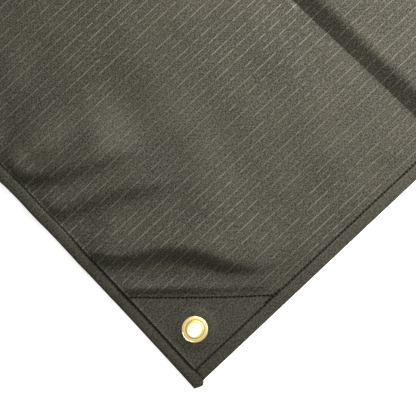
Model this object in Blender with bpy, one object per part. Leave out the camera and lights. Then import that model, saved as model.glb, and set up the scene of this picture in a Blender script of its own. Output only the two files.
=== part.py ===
"""Folded canvas tarp: one hemmed ripstop sheet, folded back and forth into a low pack of five layers.

The top layer runs on past the pack, comes down two soft steps and lies as a loose flap with its two
corners open.
Each of the four corners has a three-cornered patch sewn to the back, and a brass eyelet with a washer.

Units are metres, +Z up. Sizes are first laid out from the flap's front corner: x runs across the
folds, y along them. Every object is then moved so that the origin is under the middle of the tarp.
"""

import math
from collections import namedtuple

import bmesh
import bpy
from mathutils import Vector

# Cut sizes of the cloth
TARP_LENGTH = 1.80  # across the folds, along the cloth
TARP_WIDTH = 1.20  # along the folds
CLOTH = 0.0012  # thickness of one layer
HEM_WIDTH = 0.0108
HEM_THICK = 0.0022
AFTER_HEM = 0.0018  # from the hem's inner edge to cloth of single thickness

# The pack
LEVELS = 5
LEVEL_STEP = 0.0038  # from the middle of one layer to the middle of the next
TOP_LEVEL = LEVELS - 1
FLAP_RUN = 0.2740  # from the flap's hem to the foot of the first step
END_RUN = 0.1250  # how far the bottom layer's end shows past the pack

# The two steps down from the pack to the flap, with a level shelf between them. Each goes down by two
# layers, because the upper near fold is set back behind the lower one.
STEP_LEVELS = 2
SHELF = 0.0620
FOOT_RADIUS = 0.0030
SHOULDER_RADIUS = 0.0160
STEP_ANGLE = math.radians(28)

# Corner patches and eyelets, measured from the two edges of their corner
PATCH_THICK = 0.0010
PATCH_INSET = 0.0140
PATCH_LEG_X = 0.0900
PATCH_LEG_Y = 0.0810
EYELET_X = 0.0330
EYELET_Y = 0.0345
GAP = 0.0003

EYELET_HOLE = 0.0054  # radius of the clear hole
BARREL_WALL = 0.0006
FLANGE_RADIUS = 0.0105
FLANGE_THICK = 0.0006
WASHER_THICK = 0.0007
LIP_RADIUS = 0.0074
LIP_THICK = 0.0008
HOLE_IN_CLOTH = EYELET_HOLE + BARREL_WALL + GAP
EYELET_SIDES = 16

# How high the layers lie at a corner
OVER_PATCH = PATCH_THICK + GAP
OVER_FLANGE = FLANGE_THICK + GAP
RAISED_RADIUS = 0.0115  # the patch is level over the flange out to here
FLAT_RADIUS = 0.0190  # and down on the ground from here
EYELET_CELL = 0.0128  # half the side of the level square of cloth round an eyelet
# How far past the patch the cloth stays up, and then comes down, as shares of the patch's legs. At the
# end the cloth has to be down again where it goes under the pack, so there the raised part has square
# corners and follows the sheet's own lines.
Lift = namedtuple("Lift", "past ease square")
FLAP_CORNER = Lift(past=0.45, ease=0.40, square=False)
END_CORNER = Lift(past=0.19, ease=0.10, square=True)

# Folds, from the top of the pack down. wander is how far a fold strays from its straight line.
Fold = namedtuple("Fold", "upper_level side set_back wander wave_length start")
FOLDS = (
    Fold(upper_level=4, side=1, set_back=0.0000, wander=0.0035, wave_length=0.74, start=0.10),
    Fold(upper_level=3, side=-1, set_back=0.0820, wander=0.0022, wave_length=0.52, start=0.31),
    Fold(upper_level=2, side=1, set_back=0.0060, wander=0.0030, wave_length=0.90, start=0.55),
    Fold(upper_level=1, side=-1, set_back=0.0000, wander=0.0010, wave_length=0.61, start=0.20),
)

# How far the step and the near folds stray from a straight line
Stray = namedtuple("Stray", "y x")
STEP_STRAYS = (
    Stray(0.00, 0.0037),
    Stray(0.22, -0.0056),
    Stray(0.50, 0.0000),
    Stray(0.80, 0.0035),
    Stray(1.20, -0.0020),
)
LAYER_SLIP = (0.0, 0.0035, 0.0010, 0.0045, 0.0)  # along y, from the bottom layer up

# The flap's hem bows inwards beside its front corner
EDGE_BOW = 0.0012
EDGE_WAVE = 0.280
BOW_REACH = 0.10

# Creases of the flap, all in millimetres except lean. A crease follows a smooth curve through its
# places. On the side away from the front corner the cloth climbs by height over the width steep, and
# then sinks back over the width slow. fade_in and fade_out are the lengths over which it starts and
# ends. lean is 0 where the climb is steepest at its top, and 1 where it is steepest at its foot.
Crease = namedtuple("Crease", "name places height steep slow fade_in fade_out lean")
CREASES = (
    Crease("corner swell", ((-2, 152), (41, 106), (65, 85), (81, 57), (130, 18)), 8, 13, 110, 40, 86, 1),
    Crease("patch ridge", ((2, 104), (22, 84), (56, 50), (88, 15)), 2.6, 7, 16, 30, 80, 0),
    Crease("hem pinch", ((-4, 240), (19, 213), (53, 190), (84, 176), (106, 165)), 6.6, 12, 60, 30, 50, 0),
    Crease("upper crease", ((-8, 227), (23, 225), (46, 220), (84, 216)), 4.2, 9, 40, 30, 50, 0.3),
    Crease("side swell", ((-8, 199), (24, 173), (63, 154), (112, 122)), 6.4, 15, 70, 34, 70, 0),
    Crease("middle swell", ((60, 176), (85, 150), (110, 130), (150, 112)), 2.4, 46, 110, 50, 50, 0.5),
    Crease("far crease", ((15, 262), (58, 275), (105, 282)), 2.2, 14, 40, 30, 40, 0.5),
    Crease("plain crease", ((30, 600), (130, 590), (240, 560)), 3.0, 24, 70, 70, 70, 0),
    Crease("back crease", ((40, 900), (140, 872), (250, 860)), 2.8, 24, 70, 70, 70, 0.5),
)
SLOW_START = 0.25  # the cloth sinks back sooner where a crease starts at a hem, by this share
CLIMB_POWER = 1.6
FLAP_SWELL = 0.0012  # a broad low swell over the whole flap

# Lines along which the cloth is sampled, in metres from the nearest edge
CORNER_LINES = (0.0, HEM_WIDTH, HEM_WIDTH + AFTER_HEM)
FLAP_LINES = (0.058, 0.070, 0.082, 0.095, 0.110, 0.127, 0.150, 0.178, 0.210, 0.244)
FRONT_LINES = (0.058, 0.070, 0.083, 0.097, 0.113, 0.130, 0.147, 0.165, 0.185, 0.207, 0.230)
PLAIN_LINES = (0.255, 0.300, 0.380, 0.460, 0.540, 0.600, 0.670, 0.760, 0.840, 0.900, 0.970)
BACK_LINES = (0.150, 0.110, 0.080, 0.060)
END_LINES = (0.140, 0.108, 0.075)
LAYER_SHARES = (0.06, 0.5, 0.94)
FOLD_STEPS = 3

# One point of the section. kind: flap, step, layer, fold or end. x is measured from the flap's hem, or
# on a fold from its middle. turn is the cloth's angle, share the way along a layer between its folds,
# lies how fully the cloth rests on the ground, and level the layer it belongs to.
Section = namedtuple("Section", "kind z turn x share folds lies level", defaults=(0.0, 0.0, None, 0.0, 0))


def smooth(value):
    """0 below 0, 1 above 1, and an even slope between."""
    value = min(max(value, 0.0), 1.0)
    return value * value * (3 - 2 * value)


def level_height(level):
    return CLOTH / 2 + level * LEVEL_STEP


# ---- The section across the folds ------------------------------------------------------------


def step_rise():
    return STEP_LEVELS * LEVEL_STEP


def step_slope():
    """Length of the straight stretch between the step's two arcs."""
    arcs = (FOOT_RADIUS + SHOULDER_RADIUS) * (1 - math.cos(STEP_ANGLE))
    return (step_rise() - arcs) / math.sin(STEP_ANGLE)


def step_reach():
    """How far the step goes across, from its foot to the level top."""
    arcs = (FOOT_RADIUS + SHOULDER_RADIUS) * math.sin(STEP_ANGLE)
    return arcs + step_slope() * math.cos(STEP_ANGLE)


def step_length():
    return (FOOT_RADIUS + SHOULDER_RADIUS) * STEP_ANGLE + step_slope()


FOLD_RADIUS = LEVEL_STEP / 2
STEP_FEET = (FLAP_RUN, FLAP_RUN + step_reach() + SHELF)
TOP_START = STEP_FEET[-1] + step_reach()
NEAR_FOLD = FLAP_RUN + 0.0145  # outer edge of the lowest near fold, just behind the first step


def far_fold():
    """The outer edge of the far folds, such that the whole section is as long as the cloth."""
    near = sum(NEAR_FOLD + fold.set_back + FOLD_RADIUS for fold in FOLDS if fold.side < 0)
    far_back = sum(fold.set_back + FOLD_RADIUS for fold in FOLDS if fold.side > 0)
    steps = len(STEP_FEET) * step_length() + SHELF
    used = FLAP_RUN + steps + len(FOLDS) * math.pi * FOLD_RADIUS
    # runs: top layer, then two between each pair of folds, then the bottom layer with its end
    loose = TARP_LENGTH - used + TOP_START + 2 * near + 2 * far_back - END_RUN
    return loose / LEVELS


FAR_FOLD = far_fold()
END_X = FAR_FOLD + END_RUN


def step_line(y):
    """How far the step strays across at y, eased between the rows of its table."""
    for before, after in zip(STEP_STRAYS, STEP_STRAYS[1:]):
        if y <= after.y:
            return before.x + (after.x - before.x) * smooth((y - before.y) / (after.y - before.y))
    return STEP_STRAYS[-1].x


def fold_line(fold, y):
    """Outer edge of a fold at y. The whole pack strays with its step."""
    edge = FAR_FOLD - fold.set_back if fold.side > 0 else NEAR_FOLD + fold.set_back
    wave = 0.5 - 0.5 * math.cos(math.tau * (y - fold.start) / fold.wave_length)
    return edge + step_line(y) - fold.side * fold.wander * wave


def flap_sections():
    lines = CORNER_LINES + (EYELET_X - EYELET_CELL, EYELET_X + EYELET_CELL) + FLAP_LINES
    return [Section("flap", level_height(0), 0.0, x=x, lies=1.0) for x in lines]


def step_sections():
    """Foot arc, straight slope and shoulder arc of each step, as points with the cloth's slope there."""
    ground = level_height(0)
    found = []
    for index, foot in enumerate(STEP_FEET):
        low = ground + index * step_rise()
        high = low + step_rise()
        for part in (0.0, 1.0):
            angle = part * STEP_ANGLE
            x = foot + FOOT_RADIUS * math.sin(angle)
            found.append((x, low + FOOT_RADIUS * (1 - math.cos(angle)), angle))
        for part in (1.0, 0.6, 0.3, 0.0):
            angle = part * STEP_ANGLE
            x = foot + step_reach() - SHOULDER_RADIUS * math.sin(angle)
            found.append((x, high - SHOULDER_RADIUS * (1 - math.cos(angle)), angle))
    return [
        Section("step", z, angle, x=x, lies=1.0 - smooth((z - ground) / LEVEL_STEP)) for x, z, angle in found
    ]


def layer_sections(level, near, far, forwards):
    """Points along one layer, between its near and its far fold."""
    shares = LAYER_SHARES if forwards else LAYER_SHARES[::-1]
    turn = 0.0 if forwards else math.pi
    lies = 1.0 if level == 0 else 0.0
    return [
        Section("layer", level_height(level), turn, share=share, folds=(near, far), lies=lies, level=level)
        for share in shares
    ]


def fold_sections(fold):
    """Half a turn from the upper level down to the lower one."""
    middle = level_height(fold.upper_level) - FOLD_RADIUS
    sections = []
    for step in range(FOLD_STEPS + 1):
        part = step / FOLD_STEPS
        swing = math.pi * part
        turn = -swing if fold.side > 0 else math.pi + swing
        z = middle + FOLD_RADIUS * math.cos(swing)
        lies = smooth(part * 2 - 1) if fold.upper_level == 1 else 0.0
        x = FOLD_RADIUS * math.sin(swing)
        level = fold.upper_level - part
        sections.append(Section("fold", z, turn, x=x, folds=(fold,), lies=lies, level=level))
    return sections


def end_sections():
    """The bottom layer's end, with lines at its own corners' eyelets and at its hem."""
    lines = END_LINES + (EYELET_X + EYELET_CELL, EYELET_X - EYELET_CELL) + CORNER_LINES[::-1]
    return [Section("end", level_height(0), 0.0, x=END_X - x, lies=1.0) for x in lines]


def all_sections():
    """The whole section, from the flap's hem up the step, back and forth, to the end's hem."""
    sections = flap_sections() + step_sections()
    for level in range(TOP_LEVEL, -1, -1):
        forwards = (TOP_LEVEL - level) % 2 == 0
        upper = next((fold for fold in FOLDS if fold.upper_level == level + 1), None)
        lower = next((fold for fold in FOLDS if fold.upper_level == level), None)
        near, far = (upper, lower) if forwards else (lower, upper)
        sections += layer_sections(level, near, far, forwards)
        if lower:
            sections += fold_sections(lower)
    return sections + end_sections()


def section_x(section, y):
    """Where a section's point is across the folds, at y along them."""
    if section.kind == "flap":
        return section.x + edge_bow(y) * (1 - smooth(section.x / BOW_REACH))
    if section.kind == "step":
        return section.x + step_line(y)
    if section.kind == "end":
        return section.x
    if section.kind == "fold":
        fold = section.folds[0]
        return fold_line(fold, y) - fold.side * (FOLD_RADIUS - section.x)
    near, far = section.folds
    start = fold_line(near, y) + FOLD_RADIUS if near else TOP_START + step_line(y)
    end = fold_line(far, y) - FOLD_RADIUS if far else END_X - END_LINES[0]
    return start + (end - start) * section.share


# ---- Heights of the cloth over the ground ----------------------------------------------------

Corner = namedtuple("Corner", "name x y across along lift")
CORNERS = (
    Corner("flap_front", 0.0, 0.0, 1, 1, FLAP_CORNER),
    Corner("flap_back", 0.0, TARP_WIDTH, 1, -1, FLAP_CORNER),
    Corner("end_front", END_X, 0.0, -1, 1, END_CORNER),
    Corner("end_back", END_X, TARP_WIDTH, -1, -1, END_CORNER),
)


def corner_lift(x, y):
    """The cloth lies over its corner patch, and higher still over the eyelet's flange."""
    lift = 0.0
    for corner in CORNERS:
        across = (x - corner.x) * corner.across
        along = (y - corner.y) * corner.along
        if min(across, along) < HEM_WIDTH + AFTER_HEM / 2:
            continue
        shares = (across - PATCH_INSET) / PATCH_LEG_X, (along - PATCH_INSET) / PATCH_LEG_Y
        past = (max(shares) if corner.lift.square else sum(shares)) - 1
        lift = max(lift, OVER_PATCH * (1 - smooth((past - corner.lift.past) / corner.lift.ease)))
        beside = max(abs(across - EYELET_X), abs(along - EYELET_Y))
        if beside < EYELET_CELL * 1.05:
            lift = OVER_PATCH + OVER_FLANGE
    return lift


def curve_point(places, at):
    """A place on the Catmull-Rom curve through the places. at counts them: 1.5 is half-way past 1."""
    ends = (2 * places[0] - places[1], 2 * places[-1] - places[-2])
    given = (ends[0], *places, ends[1])
    first = min(int(at), len(places) - 2)
    part = at - first
    before, start, end, after = given[first : first + 4]
    bend = 2 * before - 5 * start + 4 * end - after
    twist = 3 * (start - end) + after - before
    return (2 * start + (end - before) * part + bend * part**2 + twist * part**3) / 2


def crease_curve(crease):
    places = [Vector(place) / 1000 for place in crease.places]
    return [curve_point(places, step / CURVE_STEPS * (len(places) - 1)) for step in range(CURVE_STEPS + 1)]


CURVE_STEPS = 32
CURVES = {crease.name: crease_curve(crease) for crease in CREASES}


def beside_curve(curve, place):
    """How far a place is from the curve, above 0 on the side away from the corner."""
    nearest, beside = math.inf, 0.0
    for start, end in zip(curve, curve[1:]):
        way = end - start
        part = min(max((place - start).dot(way) / way.length_squared, 0.0), 1.0)
        off = place - start - way * part
        if off.length < nearest:
            nearest = off.length
            beside = math.copysign(nearest, way.x * off.y - way.y * off.x)
    return beside


def crease_lift(crease, x, y):
    """Height that one crease adds. It climbs beside its curve, and the rest follows its chord."""
    curve = CURVES[crease.name]
    chord = curve[-1] - curve[0]
    length = chord.length
    aside = Vector((-chord.y, chord.x)) / length
    place = Vector((x, y))
    along = (place - curve[0]).dot(chord) / length
    share = along / length
    bulge = max((spot - curve[0]).dot(aside) for spot in curve)
    behind = (place - curve[0]).dot(aside) - bulge * smooth(share / 0.4)
    size = smooth(along / crease.fade_in * 1000) * smooth((length - along) / crease.fade_out * 1000)
    steep = crease.steep / 1000 * (0.35 + 0.65 * size)
    slow = crease.slow / 1000 * (SLOW_START + (1 - SLOW_START) * smooth(share / 0.7))
    lean = crease.lean * smooth((share - 0.25) / 0.5)
    part = min(max(beside_curve(curve, place) / steep + 0.8 - 0.6 * lean, 0.0), 1.0)
    climb = (1 - lean) * part**CLIMB_POWER + lean * (1 - (1 - part) ** CLIMB_POWER)
    fall = 1 - smooth((behind - steep * 0.4) / slow)
    return crease.height / 1000 * size * climb * fall


def flap_lift(x, y):
    """All creases of the flap, faded out at its hems and at the foot of the step."""
    inside = smooth((x - HEM_WIDTH) / 0.014) * smooth((y - HEM_WIDTH) / 0.020)
    inside *= smooth((TARP_WIDTH - HEM_WIDTH - y) / 0.020) * smooth((FLAP_RUN - x) / 0.040)
    nearer_end = min(y, TARP_WIDTH - y)
    past = (x - PATCH_INSET) / PATCH_LEG_X + (nearer_end - PATCH_INSET) / PATCH_LEG_Y - 1
    clear = smooth(past / 0.15)
    creases = sum(crease_lift(crease, x, y) for crease in CREASES)
    swell = FLAP_SWELL * math.sin(math.pi * min(x / FLAP_RUN, 1.0)) ** 2
    return inside * clear * (creases + swell)


def edge_bow(y):
    """How far the flap's hem bows inwards at y."""
    return EDGE_BOW * math.sin(math.pi * min(y, EDGE_WAVE) / EDGE_WAVE)


# ---- The sheet -------------------------------------------------------------------------------


def width_lines():
    """Places along the folds where the section is drawn, dense at the flap's front corner."""
    cell = (EYELET_Y - EYELET_CELL, EYELET_Y + EYELET_CELL)
    front = CORNER_LINES + cell + FRONT_LINES + PLAIN_LINES
    back = tuple(TARP_WIDTH - y for y in BACK_LINES + cell[::-1] + CORNER_LINES[::-1])
    return front + back


def thickness(x_from_edge, y):
    """Cloth, or hem near any of the four edges."""
    nearest = min(x_from_edge, y, TARP_WIDTH - y)
    return HEM_THICK if nearest <= HEM_WIDTH + 1e-6 else CLOTH


def layer_slip(level):
    """How far a layer has slid along y. On a fold, between two levels, it is blended."""
    low = int(math.floor(level))
    high = min(low + 1, TOP_LEVEL)
    return LAYER_SLIP[low] + (LAYER_SLIP[high] - LAYER_SLIP[low]) * (level - low)


def sheet_point(section, y):
    """The middle of the cloth, its front side's direction and its thickness."""
    hemmed = section.kind in ("flap", "end")
    thick = thickness(min(section.x, END_X - section.x) if hemmed else TARP_LENGTH, y)
    z = section.z + section.lies * (thick - CLOTH) / 2
    if hemmed:
        z += corner_lift(section.x, y)
    if section.kind == "flap":
        z += flap_lift(section.x, y)
    slip = layer_slip(section.level) if section.kind in ("layer", "fold") else 0.0
    place = Vector((section_x(section, y), y + slip, z))
    front = Vector((-math.sin(section.turn), 0.0, math.cos(section.turn)))
    return place, front, thick


def ring_pairs(count):
    """Pairs of neighbours round a closed ring."""
    return [(index, (index + 1) % count) for index in range(count)]


def add_face(mesh, corners, facing_back):
    mesh.faces.new(corners[::-1] if facing_back else corners)


def add_cell(mesh, cell, facing_back):
    """One cell of the cloth as two triangles, split the same way on both sides of the cloth."""
    near, far, far_up, near_up = cell
    add_face(mesh, (near, far, near_up), facing_back)
    add_face(mesh, (far, far_up, near_up), facing_back)


def add_pierced_cell(mesh, cell, eyelet, facing_back):
    """A level cell with a round hole for the eyelet's barrel. Returns the hole's ring of points."""
    ring = []
    for step in range(EYELET_SIDES):
        angle = math.tau * step / EYELET_SIDES
        x = eyelet[0] + HOLE_IN_CLOTH * math.cos(angle)
        y = eyelet[1] + HOLE_IN_CLOTH * math.sin(angle)
        ring.append(mesh.verts.new((x, y, cell[0].co.z)))
    quarter = EYELET_SIDES // len(cell)
    for index, corner in enumerate(cell):
        first = (index + 2) * quarter  # the first corner faces the third quarter of the ring
        points = [ring[(first + step) % EYELET_SIDES] for step in range(quarter + 1)]
        for here, there in zip(points, points[1:]):
            add_face(mesh, (corner, there, here), facing_back)
        add_face(mesh, (corner, cell[(index + 1) % len(cell)], points[-1]), facing_back)
    return ring


def eyelet_in_cell(section, next_section, y, next_y):
    """The place of the eyelet that goes through the cell between two sections and two lines."""
    if section.kind not in ("flap", "end") or next_section.kind != section.kind:
        return None
    for corner in CORNERS:
        eyelet = corner_place(corner, EYELET_X, EYELET_Y)
        if section.x < eyelet[0] < next_section.x and y < eyelet[1] < next_y:
            return eyelet
    return None


def build_sheet():
    """Front and back of the cloth, joined round the outer edge and through the four holes."""
    sections = all_sections()
    lines = width_lines()
    mesh = bmesh.new()
    front_rows, back_rows = [], []
    for section in sections:
        points = [sheet_point(section, y) for y in lines]
        front_rows.append([mesh.verts.new(place + front * thick / 2) for place, front, thick in points])
        back_rows.append([mesh.verts.new(place - front * thick / 2) for place, front, thick in points])
    for row in range(len(sections) - 1):
        for column in range(len(lines) - 1):
            front_cell = cell_corners(front_rows, row, column)
            back_cell = cell_corners(back_rows, row, column)
            eyelet = eyelet_in_cell(sections[row], sections[row + 1], lines[column], lines[column + 1])
            if eyelet:
                front_ring = add_pierced_cell(mesh, front_cell, eyelet, facing_back=False)
                back_ring = add_pierced_cell(mesh, back_cell, eyelet, facing_back=True)
                add_wall(mesh, front_ring, back_ring)
            else:
                add_cell(mesh, front_cell, facing_back=False)
                add_cell(mesh, back_cell, facing_back=True)
    add_wall(mesh, outer_ring(back_rows), outer_ring(front_rows))
    finished("tarp_sheet", mesh, CANVAS)


def cell_corners(rows, row, column):
    return rows[row][column], rows[row + 1][column], rows[row + 1][column + 1], rows[row][column + 1]


def add_wall(mesh, first_ring, second_ring):
    """A band of faces between two closed rings of as many points."""
    for here, there in ring_pairs(len(first_ring)):
        mesh.faces.new((first_ring[here], first_ring[there], second_ring[there], second_ring[here]))


def outer_ring(rows):
    """The rows' outer points in order round the sheet, the same way round as its front faces."""
    down = [row[0] for row in rows]
    far = rows[-1][1:]
    up = [row[-1] for row in rows[-2::-1]]
    near = rows[0][-2:0:-1]
    return down + far + up + near


# ---- Corner patches and eyelets --------------------------------------------------------------


def corner_place(corner, across, along):
    return corner.x + corner.across * across, corner.y + corner.along * along


def patch_outline(angle):
    """Distance from the eyelet's middle to the patch's three-cornered outline, along an angle."""
    cos, sin = math.cos(angle), math.sin(angle)
    reaches = []
    if cos < 0:
        reaches.append((PATCH_INSET - EYELET_X) / cos)
    if sin < 0:
        reaches.append((PATCH_INSET - EYELET_Y) / sin)
    slant = cos / PATCH_LEG_X + sin / PATCH_LEG_Y
    if slant > 0:
        used = (EYELET_X - PATCH_INSET) / PATCH_LEG_X + (EYELET_Y - PATCH_INSET) / PATCH_LEG_Y
        reaches.append((1 - used) / slant)
    return min(reaches)


def patch_angles():
    """Even steps round the eyelet, and the directions of the patch's three corners."""
    tips = (
        (PATCH_INSET, PATCH_INSET),
        (PATCH_INSET + PATCH_LEG_X, PATCH_INSET),
        (PATCH_INSET, PATCH_INSET + PATCH_LEG_Y),
    )
    corners = [math.atan2(y - EYELET_Y, x - EYELET_X) % math.tau for x, y in tips]
    apart = math.tau / EYELET_SIDES / 3
    even = [math.tau * step / EYELET_SIDES for step in range(EYELET_SIDES)]
    kept = [angle for angle in even if all(abs(angle - tip) > apart for tip in corners)]
    return sorted(kept + corners)


def build_patch(corner):
    """Rings from the hole outwards: level over the flange, down to the ground, out to the outline."""
    angles = patch_angles()
    mesh = bmesh.new()
    loops = []
    for reach, height in (
        (lambda angle: HOLE_IN_CLOTH, OVER_FLANGE),
        (lambda angle: RAISED_RADIUS, OVER_FLANGE),
        (lambda angle: FLAT_RADIUS, 0.0),
        (patch_outline, 0.0),
    ):
        for side in (0.0, PATCH_THICK):
            loop = []
            for angle in angles:
                across = EYELET_X + reach(angle) * math.cos(angle)
                along = EYELET_Y + reach(angle) * math.sin(angle)
                x, y = corner_place(corner, across, along)
                loop.append(mesh.verts.new((x, y, height + side)))
            loops.append(loop)
    order = [1, 3, 5, 7, 6, 4, 2, 0]
    for first, second in zip(order, order[1:] + order[:1]):
        add_wall(mesh, loops[first], loops[second])
    return finished(f"corner_patch_{corner.name}", mesh, CANVAS)


def turned(name, profile, corner):
    """A closed profile of (radius, height) points turned round the eyelet's axis."""
    mesh = bmesh.new()
    rings = []
    for radius, height in profile:
        ring = []
        for step in range(EYELET_SIDES):
            angle = math.tau * step / EYELET_SIDES
            ring.append(mesh.verts.new((radius * math.cos(angle), radius * math.sin(angle), height)))
        rings.append(ring)
    for first, second in zip(rings, rings[1:] + rings[:1]):
        add_wall(mesh, first, second)
    x, y = corner_place(corner, EYELET_X, EYELET_Y)
    return finished(name, mesh, BRASS, place=(x, y, 0.0), round_shape=True)


CLOTH_TOP = OVER_FLANGE + OVER_PATCH + CLOTH
WASHER_BOTTOM = CLOTH_TOP + GAP
LIP_BOTTOM = WASHER_BOTTOM + WASHER_THICK + GAP


def build_eyelet(corner):
    """Flange under the cloth, barrel through it, and the barrel's end rolled out over the washer."""
    outside = EYELET_HOLE + BARREL_WALL
    top = LIP_BOTTOM + LIP_THICK
    profile = (
        (EYELET_HOLE, 0.0),
        (FLANGE_RADIUS, 0.0),
        (FLANGE_RADIUS, FLANGE_THICK),
        (outside, FLANGE_THICK),
        (outside, LIP_BOTTOM),
        (LIP_RADIUS, LIP_BOTTOM),
        (LIP_RADIUS - LIP_THICK / 3, top),
        (EYELET_HOLE, top),
    )
    return turned(f"eyelet_{corner.name}", profile, corner)


def build_washer(corner):
    """A flat ring on the cloth, its outer edge sloped."""
    inside = EYELET_HOLE + BARREL_WALL + GAP
    slope = WASHER_THICK * 0.8
    top = WASHER_BOTTOM + WASHER_THICK
    profile = (
        (inside, WASHER_BOTTOM),
        (FLANGE_RADIUS, WASHER_BOTTOM),
        (FLANGE_RADIUS - slope, top),
        (inside, top),
    )
    return turned(f"eyelet_washer_{corner.name}", profile, corner)


# ---- Objects and materials -------------------------------------------------------------------


def plain_material(name, colour, roughness, metallic):
    material = bpy.data.materials.new(name)
    material.use_nodes = True
    shader = material.node_tree.nodes["Principled BSDF"]
    shader.inputs["Base Color"].default_value = (*colour, 1.0)
    shader.inputs["Roughness"].default_value = roughness
    shader.inputs["Metallic"].default_value = metallic
    return material


def finished(name, mesh, material, place=(0.0, 0.0, 0.0), round_shape=False):
    """A bmesh made into an object, moved to the tarp's own frame."""
    bmesh.ops.recalc_face_normals(mesh, faces=mesh.faces)
    data = bpy.data.meshes.new(name)
    mesh.to_mesh(data)
    mesh.free()
    data.materials.append(material)
    if round_shape:
        data.shade_smooth()
        data.set_sharp_from_angle(angle=math.radians(35))
    made = bpy.data.objects.new(name, data)
    made.location = Vector(place) - MIDDLE
    bpy.context.scene.collection.objects.link(made)
    return made


def clear_scene():
    for old in list(bpy.data.objects):
        bpy.data.objects.remove(old)


MIDDLE = Vector((END_X / 2, (TARP_WIDTH + max(LAYER_SLIP)) / 2, 0.0))

clear_scene()
CANVAS = plain_material("ripstop_canvas", colour=(0.070, 0.066, 0.048), roughness=0.85, metallic=0.0)
BRASS = plain_material("brass", colour=(0.80, 0.60, 0.28), roughness=0.30, metallic=1.0)

build_sheet()
for place_of_corner in CORNERS:
    build_patch(place_of_corner)
    build_eyelet(place_of_corner)
    build_washer(place_of_corner)
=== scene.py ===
# %% [markdown]
# # A folded canvas tarp, modelled in Blender
#
# This lesson builds a hemmed ripstop tarp that is folded back and forth into a low pack, with its
# top layer running on as a loose flap. The flap's front corner shows what a tarp is made of: a
# rolled hem with a dark lockstitch, a three-cornered patch sewn to the back, and a brass eyelet.
#
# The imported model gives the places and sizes. Every measure in this file is in metres.

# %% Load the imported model
import math
from collections import namedtuple

import bmesh
import bpy
import numpy as np
from mathutils import Matrix, Vector


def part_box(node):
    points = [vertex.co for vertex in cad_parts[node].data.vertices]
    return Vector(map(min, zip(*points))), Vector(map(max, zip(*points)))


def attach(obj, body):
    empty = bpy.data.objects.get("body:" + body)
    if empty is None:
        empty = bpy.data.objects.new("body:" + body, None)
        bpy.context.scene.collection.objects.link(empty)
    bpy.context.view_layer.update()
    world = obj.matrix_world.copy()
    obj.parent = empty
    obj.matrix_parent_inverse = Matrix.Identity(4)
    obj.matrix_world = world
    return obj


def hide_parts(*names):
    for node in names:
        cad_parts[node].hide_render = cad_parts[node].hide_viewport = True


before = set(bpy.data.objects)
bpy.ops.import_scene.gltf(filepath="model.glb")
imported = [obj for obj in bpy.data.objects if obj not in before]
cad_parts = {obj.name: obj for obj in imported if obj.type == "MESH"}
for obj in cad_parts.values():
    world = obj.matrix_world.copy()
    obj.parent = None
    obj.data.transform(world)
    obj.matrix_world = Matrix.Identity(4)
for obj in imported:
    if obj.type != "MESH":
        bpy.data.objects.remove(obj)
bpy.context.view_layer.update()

sheet_low, sheet_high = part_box("tarp_sheet")
ORIGIN = np.array([sheet_low[0], sheet_low[1], 0.0])  # the flap's front corner, on the ground
END_X = sheet_high[0] - sheet_low[0]
print(f"the tarp lies {END_X * 1000:.0f} mm across its folds")

# %% [markdown]
# ## Colours
#
# A colour is easiest to judge as an sRGB hex value, and the shaders want it linear. One function
# turns the first into the second.


# %% Colour helper
def linear(hex_colour):
    """An sRGB hex colour such as 6b6654, as linear red, green, blue and alpha."""
    parts = [int(hex_colour[place : place + 2], 16) / 255 for place in (0, 2, 4)]
    turned = [part / 12.92 if part <= 0.04045 else ((part + 0.055) / 1.055) ** 2.4 for part in parts]
    return (*turned, 1.0)


# %% [markdown]
# ## Camera
#
# The tarp is looked at from straight above, with the flap's front corner pointing down in the
# picture. The picture is a third of a metre wide, so the camera looks at a spot on the flap about
# 145 mm in from the corner. A camera a good way up keeps the two hems at a right angle.

# %% Camera
VIEW_WIDTH = 0.3328
CAMERA_HEIGHT = 1.30
LOOKS_AT = ORIGIN + np.array([0.1069, 0.0978, 0.0])
TURNED = math.radians(-43.26)

camera_data = bpy.data.cameras.new("camera")
camera_data.angle = 2 * math.atan(VIEW_WIDTH / 2 / CAMERA_HEIGHT)
camera = bpy.data.objects.new("camera", camera_data)
camera.location = (LOOKS_AT[0], LOOKS_AT[1], CAMERA_HEIGHT)
camera.rotation_euler = (0.0, 0.0, TURNED)
bpy.context.scene.collection.objects.link(camera)
bpy.context.scene.camera = camera
print(f"camera {CAMERA_HEIGHT} m up, lens {camera_data.lens:.0f} mm")

# %% [markdown]
# ## Floor and light
#
# A plain white floor and one large soft light, low down on the side of the pack. A low light is
# what makes shallow creases show: a slope turned away from it goes dark at once. A weak white
# surround keeps the dark sides from going black, and a dim card overhead is there for the brass.

# %% Floor and light
KEY_PLACE = ORIGIN + np.array([0.650, 0.140, 0.280])
KEY_AIM = ORIGIN + np.array([0.120, 0.120, 0.0])
KEY_WIDTH, KEY_HEIGHT = 0.80, 0.24
KEY_WATTS = 18.5
SURROUND = 0.60
TABLE_GLOW = 0.55

floor_data = bpy.data.meshes.new("floor")
FLOOR_REACH = 6.0
floor_data.from_pydata(
    [(x, y, -0.0004) for x, y in ((-1, -1), (1, -1), (1, 1), (-1, 1))], [], [(0, 1, 2, 3)]
)
floor_data.transform(Matrix.Diagonal((FLOOR_REACH, FLOOR_REACH, 1.0, 1.0)))
floor = bpy.data.objects.new("floor", floor_data)
bpy.context.scene.collection.objects.link(floor)

key_data = bpy.data.lights.new("key", "AREA")
key_data.shape = "RECTANGLE"
key_data.size = KEY_WIDTH
key_data.size_y = KEY_HEIGHT
key_data.energy = KEY_WATTS
key = bpy.data.objects.new("key", key_data)
key.location = KEY_PLACE
key.rotation_euler = Vector(KEY_PLACE - KEY_AIM).to_track_quat("Z", "Y").to_euler()
key.visible_camera = False
bpy.context.scene.collection.objects.link(key)

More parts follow.
